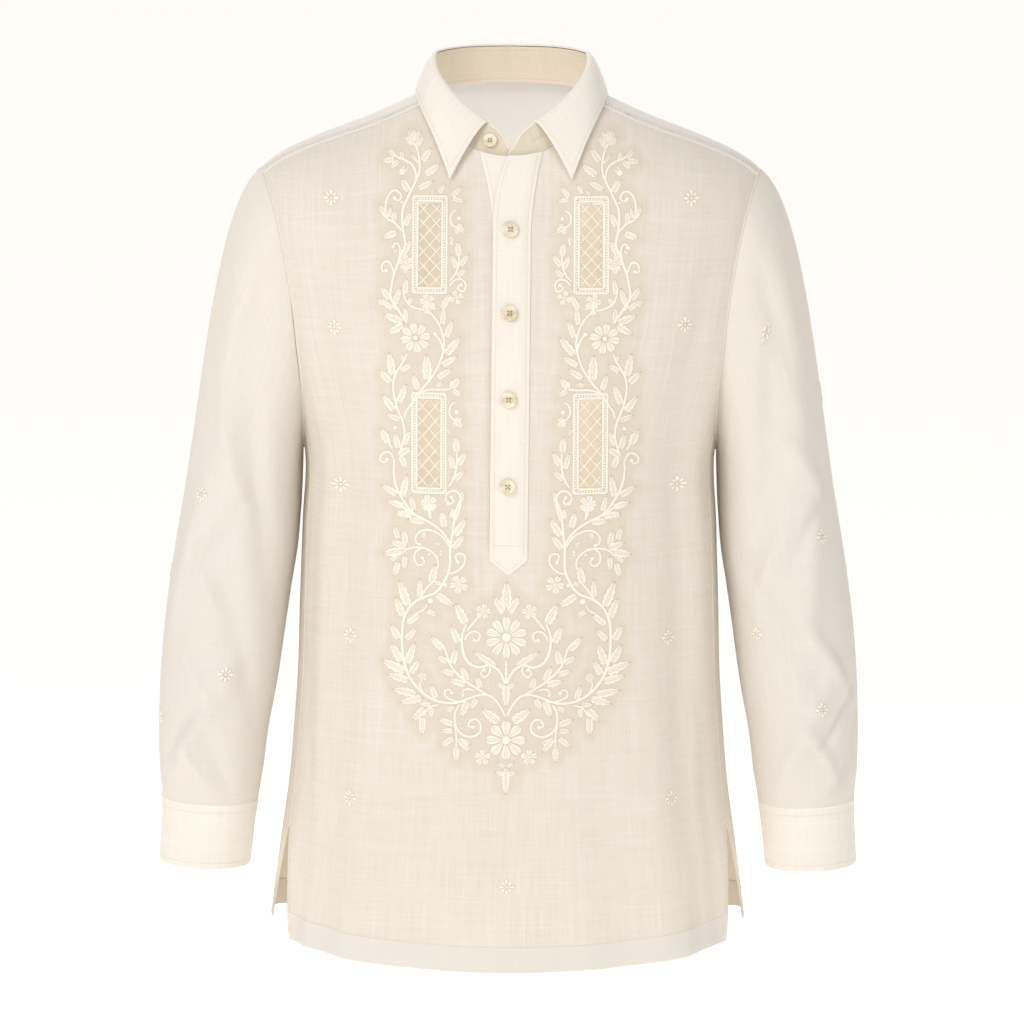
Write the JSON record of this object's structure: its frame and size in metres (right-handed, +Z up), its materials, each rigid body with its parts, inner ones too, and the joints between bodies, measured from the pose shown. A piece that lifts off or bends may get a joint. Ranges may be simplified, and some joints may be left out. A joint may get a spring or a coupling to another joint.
{
  "type": "barong tagalog shirt",
  "caption": "Hollow sheer long-sleeved pullover shirt with pointed collar, short buttoned placket, openwork chest windows and side slits.",
  "frame": {"origin": "midway between the two points where the shoulder ridge meets the neck, where a wearer holds the shirt up", "axes": "+Z up to the collar, -Y out of the front, +X towards the wearer's left"},
  "size_m": [0.6448, 0.2637, 0.8305],
  "materials": {
    "sheer_cloth": "sheer plain weave, matt",
    "crisp_cloth": "doubled cloth over interlining, matt",
    "button_shell": "soft shell lustre"
  },
  "bodies": {
    "root": {"front": "sheer_cloth", "back": "sheer_cloth", "yoke": "sheer_cloth", "sleeve_left": "sheer_cloth", "sleeve_right": "sheer_cloth", "cuff_left": "crisp_cloth", "cuff_right": "crisp_cloth", "vent_left": "crisp_cloth", "vent_right": "crisp_cloth", "collar_stand": "crisp_cloth", "collar_fall": "crisp_cloth", "placket_over": "crisp_cloth", "placket_under": "crisp_cloth", "button_1": "button_shell", "button_2": "button_shell", "button_3": "button_shell", "button_4": "button_shell", "button_collar": "button_shell", "button_cuff_left": "button_shell", "button_cuff_right": "button_shell"}
  },
  "joints": []
}
